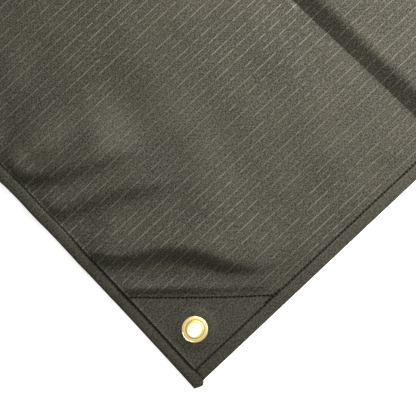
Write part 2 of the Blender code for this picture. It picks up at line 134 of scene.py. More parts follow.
# metal only shows what it mirrors, so a pale card overhead gives the brass something bright
CARD_SIZE, CARD_HEIGHT, CARD_WATTS = 0.60, 1.20, 0.55
card_data = bpy.data.lights.new("overhead card", "AREA")
card_data.size = CARD_SIZE
card_data.energy = CARD_WATTS
card = bpy.data.objects.new("overhead card", card_data)
card.location = (LOOKS_AT[0], LOOKS_AT[1], CARD_HEIGHT)
card.visible_camera = False
card.visible_diffuse = False
bpy.context.scene.collection.objects.link(card)

world = bpy.data.worlds.new("surround")
world.use_nodes = True
world.node_tree.nodes["Background"].inputs["Color"].default_value = (1.0, 1.0, 1.0, 1.0)
world.node_tree.nodes["Background"].inputs["Strength"].default_value = SURROUND
bpy.context.scene.world = world
bpy.context.scene.view_settings.view_transform = "Standard"

# %% [markdown]
# ## The way the cloth is folded
#
# Seen from the side, the tarp is one line: out along the ground, up two soft steps with a shelf
# between them, and then back and forth five times between four folds. Each step climbs two layers,
# because the upper near fold lies further back than the lower one. These are the same sizes as in
# the solid model. The line is walked as sections, and each section remembers what kind of place it
# is, because a fold moves in another way than a flat layer when the cloth strays from its straight
# lines.

# %% Sizes of the pack
CLOTH = 0.0011
TARP_LENGTH = 1.80
TARP_WIDTH = 1.20
LEVELS = 5
TOP_LEVEL = LEVELS - 1
LEVEL_STEP = 0.0038
FOLD_RADIUS = LEVEL_STEP / 2
LOW = 0.0006
FLAP_RUN = 0.2740
STEP_LEVELS = 2
SHELF = 0.0620
FOOT_RADIUS = 0.0030
SHOULDER_RADIUS = 0.0160
STEP_ANGLE = math.radians(28)

step_rise = STEP_LEVELS * LEVEL_STEP
bend_rise = (FOOT_RADIUS + SHOULDER_RADIUS) * (1 - math.cos(STEP_ANGLE))
step_slope = (step_rise - bend_rise) / math.sin(STEP_ANGLE)
step_reach = (FOOT_RADIUS + SHOULDER_RADIUS) * math.sin(STEP_ANGLE) + step_slope * math.cos(STEP_ANGLE)
STEP_FEET = (FLAP_RUN, FLAP_RUN + step_reach + SHELF)
TOP_START = STEP_FEET[-1] + step_reach
NEAR_FOLD = FLAP_RUN + 0.0145
END_RUN = 0.1250
FAR_FOLD = END_X - END_RUN
END_START = 0.140

Fold = namedtuple("Fold", "upper_level side set_back wander wave_length start")
FOLDS = (
    Fold(upper_level=4, side=1, set_back=0.0000, wander=0.0035, wave_length=0.74, start=0.10),
    Fold(upper_level=3, side=-1, set_back=0.0820, wander=0.0022, wave_length=0.52, start=0.31),
    Fold(upper_level=2, side=1, set_back=0.0060, wander=0.0030, wave_length=0.90, start=0.55),
    Fold(upper_level=1, side=-1, set_back=0.0000, wander=0.0010, wave_length=0.61, start=0.20),
)
Stray = namedtuple("Stray", "y x")
STEP_STRAYS = (
    Stray(0.00, 0.0037),
    Stray(0.22, -0.0056),
    Stray(0.50, 0.0000),
    Stray(0.80, 0.0035),
    Stray(1.20, -0.0020),
)
LAYER_SLIP = (0.0, 0.0035, 0.0010, 0.0045, 0.0)
EDGE_BOW = 0.0012
EDGE_WAVE = 0.280
BOW_REACH = 0.10
print(f"each step is {step_rise * 1000:.1f} mm high and {step_reach * 1000:.1f} mm wide")


# %% Lines of the pack
def smooth(value):
    """0 below 0, 1 above 1, and an even slope between. Works on numbers and arrays."""
    value = np.clip(value, 0.0, 1.0)
    return value * value * (3 - 2 * value)


def step_line(y):
    """How far the step and the pack stray across at y."""
    strayed = np.zeros_like(y)
    for before, after in zip(STEP_STRAYS, STEP_STRAYS[1:]):
        part = smooth((y - before.y) / (after.y - before.y))
        strayed = np.where(y >= before.y, before.x + (after.x - before.x) * part, strayed)
    return strayed


def fold_line(fold, y):
    edge = FAR_FOLD - fold.set_back if fold.side > 0 else NEAR_FOLD + fold.set_back
    wave = 0.5 - 0.5 * np.cos(math.tau * (y - fold.start) / fold.wave_length)
    return edge + step_line(y) - fold.side * fold.wander * wave


def edge_bow(y):
    return EDGE_BOW * np.sin(math.pi * np.minimum(y, EDGE_WAVE) / EDGE_WAVE)


# %% [markdown]
# ## Creases
#
# The flap was folded before, so it doesn't lie flat. Each crease is one row of a table. Its line is
# a few places in millimetres, measured from the flap's corner, with a smooth curve through them.
# Beside that line the cloth climbs by the height over the steep width, and behind it the cloth
# sinks back over the slow width. The sinking and the fading at both ends are measured along and
# across the straight chord between the line's ends, so that a bent line leaves no seam in the
# cloth. Where lean is 0 the climb is steepest at its top,
# which gives a sharp ridge, and where lean is 1 it is steepest at its foot. The creases that start
# at the flap's hem are what a hem sewn a little too tight does to the cloth beside it.

# %% Crease table
Crease = namedtuple("Crease", "name line height steep widen slow fade_in fade_out lean")
CREASES = (
    Crease(
        "corner swell",
        ((-2, 152), (8, 139), (17, 127), (28, 115), (41, 106), (54, 97))
        + ((65, 85), (74, 71), (81, 57), (91, 44), (105, 31), (130, 18)),
        height=8.0,
        steep=11.5,
        widen=0.2,
        slow=110,
        fade_in=40,
        fade_out=86,
        lean=1.0,
    ),
    Crease(
        "patch ridge",
        ((2, 104), (12, 94), (22, 84), (40, 67), (56, 50), (77, 26), (88, 15)),
        height=2.3,
        steep=7,
        widen=0.0,
        slow=16,
        fade_in=45,
        fade_out=90,
        lean=0.0,
    ),
    Crease(
        "hem pinch",
        ((-4, 240), (6, 229), (19, 213), (31, 202), (53, 190), (69, 183), (84, 176), (106, 165)),
        height=7.4,
        steep=10.5,
        widen=0.3,
        slow=60,
        fade_in=30,
        fade_out=50,
        lean=0.0,
    ),
    Crease(
        "upper crease",
        ((-8, 227), (6, 226), (23, 225), (34, 224), (46, 220), (60, 217), (84, 216)),
        height=4.2,
        steep=8,
        widen=0.3,
        slow=40,
        fade_in=30,
        fade_out=50,
        lean=0.3,
    ),
    Crease(
        "side swell",
        ((-8, 199), (4, 188), (24, 173), (41, 165), (63, 154), (84, 141), (112, 122)),
        height=6.8,
        steep=11,
        widen=0.6,
        slow=70,
        fade_in=34,
        fade_out=70,
        lean=0.0,
    ),
    Crease(
        "middle swell",
        ((60, 176), (85, 150), (110, 130), (150, 112)),
        height=2.4,
        steep=46,
        widen=0.0,
        slow=110,
        fade_in=50,
        fade_out=50,
        lean=0.5,
    ),
    Crease(
        "far crease",
        ((15, 262), (42, 272), (58, 275), (74, 278), (105, 282)),
        height=2.2,
        steep=14,
        widen=0.0,
        slow=40,
        fade_in=30,
        fade_out=40,
        lean=0.5,
    ),
    Crease(
        "plain crease",
        ((30, 600), (130, 590), (240, 560)),
        height=3.0,
        steep=20,
        widen=0.5,
        slow=70,
        fade_in=70,
        fade_out=70,
        lean=0.0,
    ),
    Crease(
        "back crease",
        ((40, 900), (140, 872), (250, 860)),
        height=2.8,
        steep=20,
        widen=0.5,
        slow=70,
        fade_in=70,
        fade_out=70,
        lean=0.5,
    ),
)
FLAP_SWELL = 0.0012
HEM_STAND = 0.0016  # the stiff hem stands a little higher than the cloth beside it
LINE_STEPS = 40
CLIMB_POWER = 1.6
SLOW_START = 0.25  # the cloth sinks back sooner where a crease starts at a hem


def smooth_line(places):
    """A Catmull-Rom curve through the places, as LINE_STEPS + 1 points in metres."""
    given = np.array(places) / 1000
    given = np.concatenate([[2 * given[0] - given[1]], given, [2 * given[-1] - given[-2]]])
    found = []
    for at in np.linspace(0.0, len(places) - 1.0001, LINE_STEPS + 1):
        first, part = int(at), at % 1
        a, b, c, d = given[first : first + 4]
        curved = 2 * b + (c - a) * part + (2 * a - 5 * b + 4 * c - d) * part**2
        found.append((curved + (3 * b - a - 3 * c + d) * part**3) / 2)
    return np.array(found)


def beside_line(line, x, y):
    """Distance from a line of points, above 0 on the side away from the corner."""
    nearest = np.full(x.shape, 9.0)
    beside = np.zeros(x.shape)
    for start, end in zip(line, line[1:]):
        way = end - start
        part = ((x - start[0]) * way[0] + (y - start[1]) * way[1]) / (way @ way)
        held = np.clip(part, 0.0, 1.0)
        away = np.hypot(x - start[0] - way[0] * held, y - start[1] - way[1] * held)
        side = np.sign((y - start[1]) * way[0] - (x - start[0]) * way[1])
        closer = away < nearest
        nearest = np.where(closer, away, nearest)
        beside = np.where(closer, away * side, beside)
    return beside


def crease_lift(crease, x, y):
    """Height that one crease adds at x, y. It climbs beside its line, and the rest follows its chord."""
    x, y = np.broadcast_arrays(x, y)
    line = crease_lines[crease.name]
    chord = line[-1] - line[0]
    length = np.linalg.norm(chord)
    ahead, aside = chord / length, np.array([-chord[1], chord[0]]) / length
    along = (x - line[0][0]) * ahead[0] + (y - line[0][1]) * ahead[1]
    behind = (x - line[0][0]) * aside[0] + (y - line[0][1]) * aside[1]
    bulge = max(float((place - line[0]) @ aside) for place in line)
    size = smooth(along / (crease.fade_in / 1000)) * smooth((length - along) / (crease.fade_out / 1000))
    steep = crease.steep / 1000 * (0.35 + 0.65 * size) * (1 + crease.widen * smooth(along / length))
    slow = crease.slow / 1000 * (SLOW_START + (1 - SLOW_START) * smooth(along / length / 0.7))
    lean = crease.lean * smooth((along / length - 0.25) / 0.5)
    part = np.clip(beside_line(line, x, y) / steep + 0.8 - 0.6 * lean, 0.0, 1.0)
    climb = (1 - lean) * part**CLIMB_POWER + lean * (1 - (1 - part) ** CLIMB_POWER)
    fall = 1 - smooth((behind - bulge * smooth(along / length / 0.4) - steep * 0.4) / slow)
    return crease.height / 1000 * size * climb * fall


crease_lines = {crease.name: smooth_line(crease.line) for crease in CREASES}
print(f"{len(CREASES)} creases, the highest {max(crease.height for crease in CREASES)} mm")

# %% [markdown]
# ## Corners
#
# At a corner the cloth lies over the patch, and higher still over the eyelet's flange. The patch
# and the eyelet come from the solid model, so their places are read from it and not repeated.

# %% Corner table
Lift = namedtuple("Lift", "past ease square")
FLAP_CORNER = Lift(past=0.45, ease=0.40, square=False)
END_CORNER = Lift(past=0.19, ease=0.10, square=True)
Corner = namedtuple("Corner", "name x y across along lift")
CORNERS = (
    Corner("flap_front", 0.0, 0.0, 1, 1, FLAP_CORNER),
    Corner("flap_back", 0.0, TARP_WIDTH, 1, -1, FLAP_CORNER),
    Corner("end_front", END_X, 0.0, -1, 1, END_CORNER),
    Corner("end_back", END_X, TARP_WIDTH, -1, -1, END_CORNER),
)


def middle_of(node):
    low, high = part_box(node)
    return (np.array(low) + np.array(high)) / 2


def corner_place(corner, across, along):
    return np.array([corner.x + corner.across * across, corner.y + corner.along * along])


eyelet_low, eyelet_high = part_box("eyelet_flap_front")
patch_low, patch_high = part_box("corner_patch_flap_front")
EYELET_X, EYELET_Y = (middle_of("eyelet_flap_front") - ORIGIN)[:2]
PATCH_INSET = patch_low[0] - ORIGIN[0]
PATCH_LEG_X = patch_high[0] - patch_low[0]
PATCH_LEG_Y = patch_high[1] - patch_low[1]
FLANGE_RADIUS = (eyelet_high[0] - eyelet_low[0]) / 2
GAP = 0.0003
PATCH_THICK = 0.0010
OVER_PATCH = PATCH_THICK + GAP
OVER_FLANGE = 0.0009
RAISED_RADIUS = 0.0125
FLAT_RADIUS = 0.0195
print(f"eyelet {EYELET_X * 1000:.1f} and {EYELET_Y * 1000:.1f} mm in from its two edges")


def corner_lift(x, y):
    """How high the cloth lies over patches and flanges."""
    lift = np.zeros(np.broadcast(x, y).shape)
    for corner in CORNERS:
        across = (x - corner.x) * corner.across
        along = (y - corner.y) * corner.along
        inside = smooth((np.minimum(across, along) - 0.0086) / 0.0022)
        shares = (across - PATCH_INSET) / PATCH_LEG_X, (along - PATCH_INSET) / PATCH_LEG_Y
        past = (np.maximum(*shares) if corner.lift.square else sum(shares)) - 1
        over = OVER_PATCH * (1 - smooth((past - corner.lift.past) / corner.lift.ease))
        reach = np.hypot(across - EYELET_X, along - EYELET_Y)
        over = over + OVER_FLANGE * (1 - smooth((reach - RAISED_RADIUS) / (FLAT_RADIUS - RAISED_RADIUS)))
        lift = np.maximum(lift, over * inside)
    return lift


# %% [markdown]
# ## Hems
#
# A hem is the cloth's own edge turned in and sewn down, so it is thicker than the cloth and its
# outer edge is round. The stitch pulls a groove along its inner edge. All of that is a thickness
# that depends only on how far a point is from the nearest edge, plus a little puckering.

# %% Hem thickness
HEM_HALF = 0.00105
STITCH_LINE = 0.0103
EDGE_ROUND = 0.0011


def half_thickness(edge, along):
    """Half the cloth's thickness at a distance from the nearest edge, and a place along it."""
    inwards = np.clip(edge / EDGE_ROUND, 0.0, 1.0)
    rounded = np.sqrt(np.maximum(1 - (1 - inwards) ** 2, 0.02))
    puff = 0.00022 * np.sin(math.pi * np.clip((edge - 0.0008) / 0.0092, 0.0, 1.0))
    groove = 0.00042 * np.exp(-(((edge - STITCH_LINE) / 0.0008) ** 2))
    ripple = 0.00007 * np.sin(along * 930) * np.sin(along * 311 + 1.3)
    hem = HEM_HALF * rounded + puff + ripple * (rounded - 0.14) - groove
    into_cloth = smooth((edge - STITCH_LINE - 0.0002) / 0.0016)
    cloth = CLOTH / 2 - groove * 0.45
    return hem * (1 - into_cloth) + cloth * into_cloth


def flap_lift(x, y):
    """All creases of the flap, faded out at its hems and at the foot of the step."""
    x = np.maximum(x, STITCH_LINE + 0.0012)  # across the hem it is all one height
    inside = smooth((y - 0.0108) / 0.020)
    inside = inside * smooth((TARP_WIDTH - 0.0108 - y) / 0.020) * smooth((FLAP_RUN - x) / 0.040)
    nearer_end = np.minimum(y, TARP_WIDTH - y)
    past = (x - PATCH_INSET) / PATCH_LEG_X + (nearer_end - PATCH_INSET) / PATCH_LEG_Y - 1
    creases = sum(crease_lift(crease, x, y) for crease in CREASES)
    swell = FLAP_SWELL * np.sin(math.pi * np.minimum(x / FLAP_RUN, 1.0)) ** 2
    uneven = 0.00035 * (1 + np.sin(x * 97 + y * 41 + 1.1) * np.sin(y * 73 - x * 29))
    hem_stand = HEM_STAND * (1 - smooth((x - 0.0100) / 0.024))
    return inside * smooth((past + 0.06) / 0.06) * (creases + swell + uneven + hem_stand)


# %% [markdown]
# ## The sheet as a grid
#
# The sheet is a grid of points: rows across the folds and columns along them. Where the flap's
# corner needs detail, the lines lie close together, and elsewhere they spread out. The grid is
# made twice, once for each face of the cloth, and the two are joined along the edge, so the sheet
# is a closed solid with a real thickness.

# %% Sections of the sheet
HEM_LINES = (0.0, 0.00025, 0.0007, 0.0014, 0.0026, 0.0042, 0.0058, 0.0074, 0.0086, 0.0095)
HEM_LINES += (0.0099, STITCH_LINE, 0.0107, 0.0112, 0.0119, 0.0128, 0.0140)
FAR_HEM_LINES = (0.0, 0.0007, 0.0026, 0.0058, 0.0086, 0.0098, STITCH_LINE, 0.0108, 0.0120, 0.0140)
Section = namedtuple("Section", "kind z turn x share folds lies level", defaults=(0.0, 0.0, None, 0.0, 0))


def spread(start, end, spacing):
    """Evenly spaced places from start up to, but not including, end."""
    count = max(int(math.ceil((end - start) / spacing)), 1)
    return [start + (end - start) * step / count for step in range(count)]


def flap_lines():
    fine = spread(0.0157, 0.052, 0.0016) + spread(0.052, 0.150, 0.0024) + spread(0.150, FLAP_RUN, 0.0042)
    return list(HEM_LINES) + fine


def all_sections():
    """The whole section, from the flap's hem up the step, back and forth, to the end's hem."""
    sections = [Section("flap", LOW, 0.0, x=x, lies=1.0) for x in flap_lines()]
    for index, foot in enumerate(STEP_FEET):
        low = LOW + index * step_rise
        for part in (0.0, 0.33, 0.67, 1.0):
            angle = part * STEP_ANGLE
            x = foot + FOOT_RADIUS * math.sin(angle)
            z = low + FOOT_RADIUS * (1 - math.cos(angle))
            sections.append(Section("step", z, angle, x=x, lies=1 - smooth((z - LOW) / LEVEL_STEP)))
        for part in (1.0, 0.85, 0.7, 0.55, 0.40, 0.26, 0.13, 0.0):
            angle = part * STEP_ANGLE
            x = foot + step_reach - SHOULDER_RADIUS * math.sin(angle)
            z = low + step_rise - SHOULDER_RADIUS * (1 - math.cos(angle))
            sections.append(Section("step", z, angle, x=x, lies=1 - smooth((z - LOW) / LEVEL_STEP)))
    for level in range(TOP_LEVEL, -1, -1):
        forwards = (TOP_LEVEL - level) % 2 == 0
        upper = next((fold for fold in FOLDS if fold.upper_level == level + 1), None)
        lower = next((fold for fold in FOLDS if fold.upper_level == level), None)
        near, far = (upper, lower) if forwards else (lower, upper)
        count = 18 if level == TOP_LEVEL else 6
        shares = [(step + 0.3) / (count - 0.4) for step in range(count)]
        turn = 0.0 if forwards else math.pi
        lies = 1.0 if level == 0 else 0.0
        for share in shares if forwards else shares[::-1]:
            z = LOW + level * LEVEL_STEP
            folds = (near, far)
            sections.append(Section("layer", z, turn, share=share, folds=folds, lies=lies, level=level))
        if lower:
            sections += fold_sections(lower)
    inner = spread(0.0157, 0.052, 0.0040) + spread(0.052, END_START, 0.008) + [END_START]
    for x in inner[::-1] + list(FAR_HEM_LINES[::-1]):
        sections.append(Section("end", LOW, 0.0, x=END_X - x, lies=1.0))
    return sections


def fold_sections(fold):
    """Half a turn from the upper level down to the lower one."""
    steps = 8
    found = []
    for step in range(steps + 1):
        part = step / steps
        swing = math.pi * part
        turn = -swing if fold.side > 0 else math.pi + swing
        z = LOW + fold.upper_level * LEVEL_STEP - FOLD_RADIUS * (1 - math.cos(swing))
        lies = smooth(part * 2 - 1) if fold.upper_level == 1 else 0.0
        x = FOLD_RADIUS * math.sin(swing)
        level = fold.upper_level - part
        found.append(Section("fold", z, turn, x=x, folds=(fold,), lies=lies, level=level))
    return found


def column_lines():
    near = spread(0.0157, 0.054, 0.0016) + spread(0.054, 0.150, 0.0024) + spread(0.150, 0.360, 0.0045)
    far = spread(0.0157, 0.054, 0.0040) + spread(0.054, 0.130, 0.008)
    middle = spread(0.360, TARP_WIDTH - 0.130, 0.020)
    front = list(HEM_LINES) + near + middle
    back = [TARP_WIDTH - y for y in list(FAR_HEM_LINES) + far]
    return np.array(front + [TARP_WIDTH - 0.130] + back[::-1])


# %% Points of the sheet
def section_x(section, y):
    """Where a section lies across the folds, for an array of places along them."""
    if section.kind == "flap":
        return section.x + edge_bow(y) * (1 - smooth(section.x / BOW_REACH))
    if section.kind == "step":
        return section.x + step_line(y)
    if section.kind == "end":
        return np.full_like(y, section.x)
    if section.kind == "fold":
        fold = section.folds[0]
        return fold_line(fold, y) - fold.side * (FOLD_RADIUS - section.x)
    near, far = section.folds
    start = fold_line(near, y) + FOLD_RADIUS if near else TOP_START + step_line(y)
    end = fold_line(far, y) - FOLD_RADIUS if far else END_X - END_START
    return start + (end - start) * section.share


TIP_WIDTH = 0.0100  # the flap's hem is sewn last, so its end lies over the other hem and pokes out past it
TIP_POKE = 0.0028
OVER_HEM = 0.0007


def section_points(section, y):
    """Front and back points of one section: two arrays of x, y and z."""
    hemmed = section.kind in ("flap", "end")
    from_end = min(section.x, END_X - section.x) if hemmed else TARP_LENGTH
    edge = np.minimum(np.minimum(y, TARP_WIDTH - y), from_end)
    along = y if hemmed and from_end < 0.015 else np.full_like(y, section.x + section.share * 0.28)
    half = half_thickness(edge, along)
    z = section.z + section.lies * (half - LOW)
    if hemmed:
        z = z + corner_lift(section.x, y)
    if section.kind == "flap":
        z = z + flap_lift(section.x, y)
        over_hem = OVER_HEM * smooth((STITCH_LINE - section.x) / 0.0006)
        z = z + over_hem * (1 - smooth((y - STITCH_LINE) / 0.004))
    if section.kind == "layer" and section.level == TOP_LEVEL:
        z = z + top_swell(section.share, y)
    low = int(math.floor(section.level))
    high = min(low + 1, TOP_LEVEL)
    slip = LAYER_SLIP[low] + (LAYER_SLIP[high] - LAYER_SLIP[low]) * (section.level - low)
    if section.kind not in ("layer", "fold"):
        slip = 0.0
    x = section_x(section, y)
    if section.kind == "flap" and section.x < TIP_WIDTH:
        tip_places = (0.0, TIP_WIDTH * 0.62, TIP_WIDTH * 0.8, TIP_WIDTH)
        poke = np.interp(section.x, tip_places, (0.0, 1.0, 0.85, 0.0))
        slip = slip - TIP_POKE * poke * (1 - smooth(y / 0.012))
    out_x, out_z = -math.sin(section.turn), math.cos(section.turn)
    front = np.stack([x + out_x * half, y + slip, z + out_z * half], axis=-1)
    back = np.stack([x - out_x * half, y + slip, z - out_z * half], axis=-1)
    return front + ORIGIN, back + ORIGIN


def top_swell(share, y):
    """The top layer isn't ironed flat either."""
    fade = math.sin(math.pi * min(max(share, 0.0), 1.0)) ** 2
    return 0.0011 * fade * (1 + np.sin(y * 19 + share * 5) * math.cos(share * 9)) * 0.5


# %% Build the sheet
sections = all_sections()
columns = column_lines()
rows = [section_points(section, columns) for section in sections]
front = np.array([row[0] for row in rows])
back = np.array([row[1] for row in rows])
row_count, column_count = front.shape[:2]

# how far each row is along the cloth, measured on one column; the weave needs it
middle_line = (front[:, 40] + back[:, 40]) / 2
steps = np.linalg.norm(np.diff(middle_line, axis=0), axis=1)
cloth_run = np.concatenate([[0.0], np.cumsum(steps)])
print(f"{row_count} rows and {column_count} columns; the cloth measures {cloth_run[-1]:.3f} m")


def pierced(row, column):
    """Whether a cell lies in an eyelet's hole. Its ragged rim stays hidden under the washer."""
    if sections[row].kind not in ("flap", "end"):
        return False
    corners = (front[row, column], front[row + 1, column + 1], front[row, column + 1], front[row + 1, column])
    for eyelet in EYELETS:
        if min(math.hypot(*(corner[:2] - eyelet[:2])) for corner in corners) < HOLE_RADIUS:
            return True
    return False


EYELETS = [middle_of(f"eyelet_{corner.name}") for corner in CORNERS]
HOLE_RADIUS = 0.0066


def sheet_faces():
    """Faces of both sides, and walls where a kept cell meets a missing one or the edge."""
    kept = np.ones((row_count - 1, column_count - 1), bool)
    for row in range(row_count - 1):
        if sections[row].kind in ("flap", "end"):
            for column in range(column_count - 1):
                near_end = min(columns[column], TARP_WIDTH - columns[column])
                if near_end < 0.06 and pierced(row, column):
                    kept[row, column] = False
    total = row_count * column_count
    index = np.arange(total).reshape(row_count, column_count)
    faces = []
    for row in range(row_count - 1):
        for column in range(column_count - 1):
            if not kept[row, column]:
                continue
            cell = (
                index[row, column],
                index[row + 1, column],
                index[row + 1, column + 1],
                index[row, column + 1],
            )
            faces.append(cell)
            faces.append(tuple(point + total for point in cell[::-1]))
            beside = ((row, column - 1), (row + 1, column), (row, column + 1), (row - 1, column))
            for side, (next_row, next_column) in enumerate(beside):
                inside = 0 <= next_row < row_count - 1 and 0 <= next_column < column_count - 1
                if inside and kept[next_row, next_column]:
                    continue
                here, there = cell[side], cell[(side + 1) % 4]
                faces.append((there, here, here + total, there + total))
    return faces


def mesh_object(name, points, faces):
    """A new object from points and faces, smooth shaded, riding on the tarp's only body."""
    data = bpy.data.meshes.new(name)
    data.from_pydata([tuple(point) for point in points], [], faces)
    data.update()
    made = bpy.data.objects.new(name, data)
    bpy.context.scene.collection.objects.link(made)
    data.shade_smooth()
    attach(made, "root")
    return made


used = np.concatenate([front.reshape(-1, 3), back.reshape(-1, 3)])
canvas_tarp = mesh_object("canvas_tarp", used, sheet_faces())
cloth_map = canvas_tarp.data.uv_layers.new(name="cloth")
per_point = np.empty((row_count * column_count, 2))
per_point[:, 0] = np.repeat(cloth_run, column_count)
per_point[:, 1] = np.tile(columns, row_count)
per_point = np.concatenate([per_point, per_point])
corner_points = np.empty(len(canvas_tarp.data.loops), np.int32)
canvas_tarp.data.loops.foreach_get("vertex_index", corner_points)
cloth_map.uv.foreach_set("vector", per_point[corner_points].astype(np.float32).ravel())
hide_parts("tarp_sheet")
print(f"the sheet has {len(canvas_tarp.data.polygons)} faces")


def drop_loose_points(piece):
    """Removes the points of the punched-out cells."""
    mesh = bmesh.new()
    mesh.from_mesh(piece.data)
    loose = [point for point in mesh.verts if not point.link_faces]
    bmesh.ops.delete(mesh, geom=loose, context="VERTS")
    mesh.to_mesh(piece.data)
    mesh.free()


drop_loose_points(canvas_tarp)

# %% [markdown]
# ## Patches
#
# The patch sits between the cloth and the flange: level round the hole, then down to the ground.
# It is built in rings from the hole outwards, and its rim is rounded.


# %% Build the patches
def patch_reach(angle):
    """Distance from the eyelet to the three-cornered outline."""
    cos, sin = math.cos(angle), math.sin(angle)
    reaches = []
    if cos < -1e-9:
        reaches.append((PATCH_INSET - EYELET_X) / cos)
    if sin < -1e-9:
        reaches.append((PATCH_INSET - EYELET_Y) / sin)
    slant = cos / PATCH_LEG_X + sin / PATCH_LEG_Y
    if slant > 1e-9:
        spent = (EYELET_X - PATCH_INSET) / PATCH_LEG_X + (EYELET_Y - PATCH_INSET) / PATCH_LEG_Y
        reaches.append((1 - spent) / slant)
    return min(reaches)


def patch_angles(count):
    tips = (
        (PATCH_INSET, PATCH_INSET),
        (PATCH_INSET + PATCH_LEG_X, PATCH_INSET),
        (PATCH_INSET, PATCH_INSET + PATCH_LEG_Y),
    )
    found = [math.atan2(y - EYELET_Y, x - EYELET_X) % math.tau for x, y in tips]
    even = [math.tau * step / count for step in range(count)]
    kept = [angle for angle in even if all(abs(angle - tip) > 0.03 for tip in found)]
    return sorted(kept + found)


def build_patch(corner):
    angles = patch_angles(72)
    parts = [0.0, 0.06, 0.14, 0.24, 0.36, 0.50, 0.64, 0.78, 0.90, 0.97, 1.0]
    points, faces = [], []
    sides = ((1, parts), (-1, parts[::-1]))
    for side, shares in sides:
        for share in shares:
            for angle in angles:
                reach = HOLE_RADIUS + (patch_reach(angle) - HOLE_RADIUS) * share
                lift = OVER_FLANGE * (1 - smooth((reach - RAISED_RADIUS) / (FLAT_RADIUS - RAISED_RADIUS)))
                round_rim = math.sqrt(max(1 - max(share - 0.97, 0.0) ** 2 / 0.03**2, 0.1))
                half = PATCH_THICK / 2 * round_rim
                across = EYELET_X + reach * math.cos(angle)
                along = EYELET_Y + reach * math.sin(angle)
                x, y = corner_place(corner, across, along)
                points.append(np.array([x, y, lift + PATCH_THICK / 2 + side * half]) + ORIGIN)
    ring_count = 2 * len(parts)
    size = len(angles)
    for ring in range(ring_count):
        above = (ring + 1) % ring_count
        for step in range(size):
            after = (step + 1) % size
            face = (
                ring * size + step,
                ring * size + after,
                above * size + after,
                above * size + step,
            )
            faces.append(face if corner.across * corner.along < 0 else face[::-1])
    name = f"corner_patch_{corner.name}"
    patch = mesh_object(f"sewn_{name}", points, faces)
    patch_map = patch.data.uv_layers.new(name="cloth")
    for loop in patch.data.loops:
        place = patch.data.vertices[loop.vertex_index].co
        patch_map.uv[loop.index].vector = (place.x - ORIGIN[0], place.y - ORIGIN[1])
    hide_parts(name)
    return patch


patches = [build_patch(corner) for corner in CORNERS]
print(f"{len(patches)} patches, legs {PATCH_LEG_X * 1000:.0f} and {PATCH_LEG_Y * 1000:.0f} mm")

# %% [markdown]
# ## Eyelets
#
# A two-part brass eyelet: the barrel goes up through the cloth from a flange below, and its end is
# rolled out over a washer. From above one sees the washer's domed ring, a dark crease, and the
# bright rolled lip round the hole. Both parts are profiles turned round the hole's axis.

# %% Build the eyelets
HOLE = 0.0054
SIDES = 72
EYELET_TOP = eyelet_high[2]
WASHER_LOW, WASHER_HIGH = (corner[2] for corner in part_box("eyelet_washer_flap_front"))


def arc(middle, radius, first, last, steps):
    """Points (radius, height) of an arc about middle, angles in degrees."""
    angles = [math.radians(first + (last - first) * step / steps) for step in range(steps + 1)]
    return [(middle[0] + radius * math.cos(a), middle[1] + radius * math.sin(a)) for a in angles]


def eyelet_profile():
    """Closed section of flange, barrel and rolled lip, from the hole's foot round the outside."""
    lip = 0.00085
    lip_middle = (HOLE + lip, EYELET_TOP - lip)
    flange_edge = arc((FLANGE_RADIUS - 0.0003, 0.0003), 0.0003, -90, 90, 6)
    inner_foot = arc((HOLE + 0.0012, 0.0012), 0.0012, 180, 270, 8)
    outside = [(HOLE + 0.0006, 0.0006), (HOLE + 0.0006, WASHER_HIGH + 0.00025)]
    curl = arc(lip_middle, lip, -40, 180, 20)
    return inner_foot + flange_edge + outside + curl


def washer_profile():
    """Closed section of the washer: flat below, domed above, dipping towards the lip."""
    inner = HOLE + 0.0009
    rim = FLANGE_RADIUS
    top = WASHER_HIGH
    dome = []
    for step in range(13):
        share = step / 12
        radius = rim - 0.00025 - (rim - 0.00025 - inner) * share
        bulge = math.sin(math.pi * min(share * 1.12, 0.80))
        height = WASHER_LOW + 0.00022 + (top - WASHER_LOW - 0.00022) * bulge
        dome.append((radius, height))
    edge = arc((rim - 0.00018, WASHER_LOW + 0.00018), 0.00018, -90, 60, 5)
    return [(inner, WASHER_LOW)] + edge + dome


def build_turned(name, profile, middle, node):
    points, faces = [], []
    for radius, height in profile:
        for step in range(SIDES):
            angle = math.tau * step / SIDES
            x = middle[0] + radius * math.cos(angle)
            y = middle[1] + radius * math.sin(angle)
            points.append((x, y, height))
    rings = len(profile)
    for ring in range(rings):
        above = (ring + 1) % rings
        for step in range(SIDES):
            after = (step + 1) % SIDES
            faces.append(
                (ring * SIDES + step, ring * SIDES + after, above * SIDES + after, above * SIDES + step)
            )
    made = mesh_object(name, points, faces)
    made.data.set_sharp_from_angle(angle=math.radians(50))
    turned_map = made.data.uv_layers.new(name="turned")
    for loop in made.data.loops:
        place = made.data.vertices[loop.vertex_index].co
        reach = math.hypot(place.x - middle[0], place.y - middle[1])
        turned_map.uv[loop.index].vector = (reach, place.z)
    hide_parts(node)
    return made


eyelets, washers = [], []
for corner, middle in zip(CORNERS, EYELETS):
    node = f"eyelet_{corner.name}"
    eyelets.append(build_turned(f"rolled_{node}", eyelet_profile(), middle, node))
    node = f"eyelet_washer_{corner.name}"
    washers.append(build_turned(f"domed_{node}", washer_profile(), middle, node))
print(f"{len(eyelets)} eyelets, {len(washers)} washers")

# %% [markdown]
# ## Stitches
#
# The hems and patches are sewn with black thread in a lockstitch. Each stitch is a short bead of
# thread that dips into the cloth at both ends. All the stitches of one seam are one mesh.

# %% Stitch helper
STITCH = 0.0034
STITCH_GAP = 0.0003
THREAD = 0.00068
BEAD_RINGS = 5
BEAD_SIDES = 5


